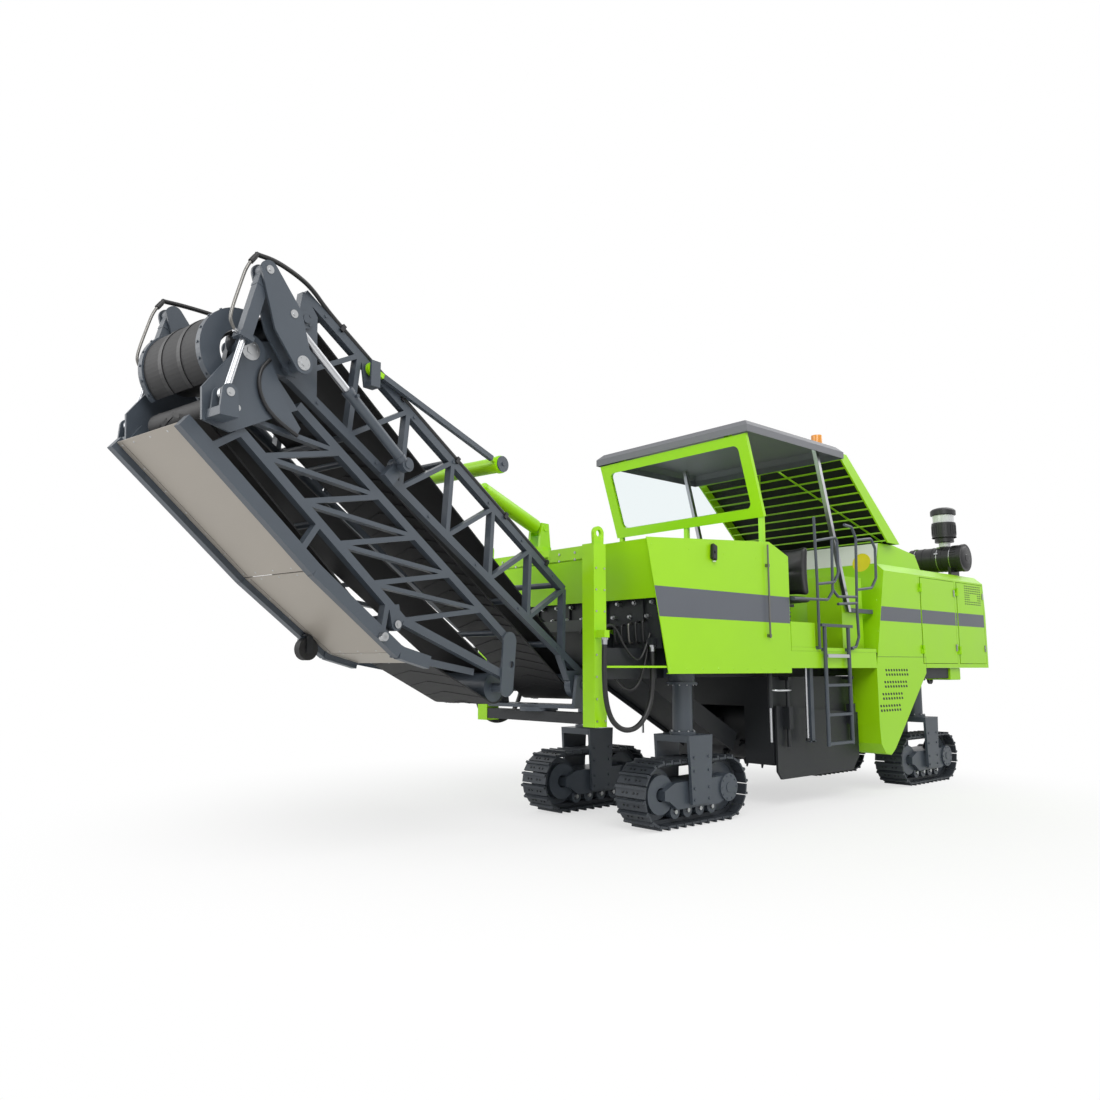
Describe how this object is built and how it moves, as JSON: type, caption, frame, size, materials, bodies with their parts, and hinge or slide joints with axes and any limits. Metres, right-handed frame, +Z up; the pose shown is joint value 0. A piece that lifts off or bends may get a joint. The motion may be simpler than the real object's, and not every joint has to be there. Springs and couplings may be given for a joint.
{
  "type": "cold planer milling machine",
  "caption": "Tracked cold planer with a roofed operator stand, a milling drum between its legs and a discharge conveyor folded at the front.",
  "frame": {"origin": "on the ground under the middle of the whole machine", "axes": "+X forward towards the discharge conveyor, +Y to the left, +Z up"},
  "size_m": [10.738, 2.2581, 3.9433],
  "materials": {
    "lime_paint": "gloss",
    "slate_steel": "satin",
    "dark_steel": "satin",
    "track_steel": "satin",
    "roof_grey": "satin",
    "cover_tan": "satin",
    "rubber": "matt",
    "chrome": "polished",
    "black_plastic": "satin",
    "amber": "gloss",
    "glass": "clear"
  },
  "bodies": {
    "chassis": {"air_cleaner": "black_plastic", "beacon": "amber", "belt_guard": "lime_paint", "drum_housing": "dark_steel", "engine_block": "dark_steel", "engine_hood": "lime_paint", "feed_conveyor": "dark_steel", "front_deck": "lime_paint", "front_hose_left": "rubber", "front_hose_right": "rubber", "front_portal": "lime_paint", "handrails": "slate_steel", "ladder": "slate_steel", "leg_sleeves": "slate_steel", "louvre_panel": "lime_paint", "main_frame": "dark_steel", "operator_platform": "dark_steel", "platform_panels": "lime_paint", "pump_bay": "dark_steel", "roof": "roof_grey", "roof_posts": "chrome", "seats": "black_plastic", "side_panels": "lime_paint", "windscreen_frame": "lime_paint", "windscreen_glass": "glass"},
    "drum": {"milling_drum": "dark_steel"},
    "scraper_plate": {"scraper": "dark_steel"},
    "drum_side_left": {"side_plate_left": "slate_steel"},
    "drum_side_right": {"side_plate_right": "slate_steel"},
    "door_left": {"hood_door_left": "lime_paint"},
    "door_right": {"hood_door_right": "lime_paint"},
    "back_door_left": {"rear_door_left": "lime_paint"},
    "back_door_right": {"rear_door_right": "lime_paint"},
    "leg_front_left": {"leg_column_front_left": "slate_steel"},
    "crawler_front_left": {"track_frame_front_left": "slate_steel", "track_front_left": "track_steel"},
    "leg_front_right": {"leg_column_front_right": "slate_steel"},
    "crawler_front_right": {"track_frame_front_right": "slate_steel", "track_front_right": "track_steel"},
    "leg_rear_left": {"leg_column_rear_left": "slate_steel"},
    "crawler_rear_left": {"track_frame_rear_left": "slate_steel", "track_rear_left": "track_steel"},
    "leg_rear_right": {"leg_column_rear_right": "slate_steel"},
    "crawler_rear_right": {"track_frame_rear_right": "slate_steel", "track_rear_right": "track_steel"},
    "slewing_base": {"slew_bracket": "slate_steel"},
    "hoist_head": {"hoist_swivel": "lime_paint"},
    "hoist_tube": {"hoist_barrel": "lime_paint"},
    "hoist_arm": {"hoist_yoke": "lime_paint"},
    "conveyor": {"conveyor_frame": "slate_steel", "conveyor_pins": "slate_steel", "conveyor_belt": "rubber"},
    "conveyor_tip": {"tip_frame": "slate_steel", "tip_belt": "rubber", "tip_covers": "cover_tan"},
    "levers": {"fold_levers": "slate_steel"},
    "link_tubes": {"link_barrels": "slate_steel"},
    "link_rams": {"link_rods": "chrome"},
    "fold_tubes": {"fold_barrels": "slate_steel"},
    "fold_rams": {"fold_rods": "chrome"}
  },
  "joints": [
    {"name": "drum_spin", "type": "hinge", "parent": "chassis", "child": "drum", "pos_m": [-1.629, -0.074, 0.77796], "axis": [0, 1, 0], "continuous": true},
    {"name": "scraper_lift", "type": "slide", "parent": "chassis", "child": "scraper_plate", "axis": [0, 0, 1], "range_m": [0, 0.25]},
    {"name": "side_plate_left_lift", "type": "slide", "parent": "chassis", "child": "drum_side_left", "axis": [0, 0, 1], "range_m": [0, 0.25]},
    {"name": "side_plate_right_lift", "type": "slide", "parent": "chassis", "child": "drum_side_right", "axis": [0, 0, 1], "range_m": [0, 0.25]},
    {"name": "hood_door_left_swing", "type": "hinge", "parent": "chassis", "child": "door_left", "pos_m": [-3.549, 0.944, 2.00296], "axis": [0, 0, 1], "range_deg": [-100, 0]},
    {"name": "hood_door_right_swing", "type": "hinge", "parent": "chassis", "child": "door_right", "pos_m": [-3.549, -1.092, 2.00296], "axis": [0, 0, 1], "range_deg": [0, 100]},
    {"name": "rear_door_left_swing", "type": "hinge", "parent": "chassis", "child": "back_door_left", "pos_m": [-4.529, 0.944, 2.00296], "axis": [0, 0, 1], "range_deg": [-100, 0]},
    {"name": "rear_door_right_swing", "type": "hinge", "parent": "chassis", "child": "back_door_right", "pos_m": [-4.529, -1.092, 2.00296], "axis": [0, 0, 1], "range_deg": [0, 100]},
    {"name": "leg_front_left_lift", "type": "slide", "parent": "chassis", "child": "leg_front_left", "axis": [0, 0, 1], "range_m": [0, 0.3]},
    {"name": "leg_front_right_lift", "type": "slide", "parent": "chassis", "child": "leg_front_right", "axis": [0, 0, 1], "range_m": [0, 0.3]},
    {"name": "leg_rear_left_lift", "type": "slide", "parent": "chassis", "child": "leg_rear_left", "axis": [0, 0, 1], "range_m": [0, 0.3]},
    {"name": "leg_rear_right_lift", "type": "slide", "parent": "chassis", "child": "leg_rear_right", "axis": [0, 0, 1], "range_m": [0, 0.3]},
    {"name": "steer_front_left", "type": "hinge", "parent": "leg_front_left", "child": "crawler_front_left", "pos_m": [0.451, 0.561, 0.79296], "axis": [0, 0, 1], "range_deg": [-25, 25]},
    {"name": "steer_front_right", "type": "hinge", "parent": "leg_front_right", "child": "crawler_front_right", "pos_m": [0.451, -0.709, 0.79296], "axis": [0, 0, 1], "range_deg": [-25, 25]},
    {"name": "steer_rear_left", "type": "hinge", "parent": "leg_rear_left", "child": "crawler_rear_left", "pos_m": [-3.999, 0.561, 0.79296], "axis": [0, 0, 1], "range_deg": [-25, 25]},
    {"name": "steer_rear_right", "type": "hinge", "parent": "leg_rear_right", "child": "crawler_rear_right", "pos_m": [-3.999, -0.709, 0.79296], "axis": [0, 0, 1], "range_deg": [-25, 25]},
    {"name": "conveyor_slew", "type": "hinge", "parent": "chassis", "child": "slewing_base", "pos_m": [1.651, -0.074, 0.86296], "axis": [0, 0, 1], "range_deg": [-49.8, 30.2]},
    {"name": "conveyor_luff", "type": "hinge", "parent": "slewing_base", "child": "conveyor", "pos_m": [1.651, -0.074, 1.25296], "axis": [0.1702, -0.9854, 0], "range_deg": [-15, 3]},
    {"name": "conveyor_fold", "type": "hinge", "parent": "conveyor", "child": "conveyor_tip", "pos_m": [4.89299, 0.48599, 3.29296], "axis": [0.1702, -0.9854, 0], "range_deg": [0, 177]},
    {"name": "fold_lever_turn", "type": "hinge", "parent": "conveyor", "child": "levers", "pos_m": [4.62693, 0.44003, 3.25296], "axis": [0.1702, -0.9854, 0], "range_deg": [0, 80]},
    {"name": "link_tube_turn", "type": "hinge", "parent": "levers", "child": "link_tubes", "pos_m": [4.88314, 0.48429, 3.76296], "axis": [0.1702, -0.9854, 0], "range_deg": [-2, 2]},
    {"name": "link_ram_slide", "type": "slide", "parent": "link_tubes", "child": "link_rams", "axis": [0.2583, 0.0446, -0.965], "range_m": [-0.31, 0.01]},
    {"name": "fold_tube_turn", "type": "hinge", "parent": "conveyor", "child": "fold_tubes", "pos_m": [3.74006, 0.28684, 2.78296], "axis": [0.1702, -0.9854, 0], "range_deg": [0, 10]},
    {"name": "fold_ram_slide", "type": "slide", "parent": "fold_tubes", "child": "fold_rams", "axis": [0.7787, 0.1345, 0.6128], "range_m": [-0.38, 0.01]},
    {"name": "hoist_swivel_turn", "type": "hinge", "parent": "chassis", "child": "hoist_head", "pos_m": [1.651, -0.074, 2.43296], "axis": [0, 0, 1], "range_deg": [-49.8, 30.2]},
    {"name": "hoist_tube_turn", "type": "hinge", "parent": "hoist_head", "child": "hoist_tube", "pos_m": [1.651, -0.074, 2.64296], "axis": [0.1702, -0.9854, 0], "range_deg": [-19, 4]},
    {"name": "hoist_ram_slide", "type": "slide", "parent": "hoist_tube", "child": "hoist_arm", "axis": [0.9356, 0.1616, 0.3138], "range_m": [-0.08, 0.36]}
  ],
  "couplings": [
    {"joint": "fold_lever_turn", "follows": "conveyor_fold", "ratio": 0.45},
    {"joint": "link_tube_turn", "follows": "conveyor_fold", "ratio": -0.001},
    {"joint": "link_ram_slide", "follows": "conveyor_fold", "m_per_rad": -0.099},
    {"joint": "fold_tube_turn", "follows": "conveyor_fold", "ratio": 0.033},
    {"joint": "fold_ram_slide", "follows": "conveyor_fold", "m_per_rad": -0.12},
    {"joint": "hoist_swivel_turn", "follows": "conveyor_slew", "ratio": 1},
    {"joint": "hoist_tube_turn", "follows": "conveyor_luff", "ratio": 1.11},
    {"joint": "hoist_ram_slide", "follows": "conveyor_luff", "m_per_rad": -1.356},
    {"joint": "steer_front_right", "follows": "steer_front_left", "ratio": 1},
    {"joint": "steer_rear_right", "follows": "steer_rear_left", "ratio": 1}
  ]
}
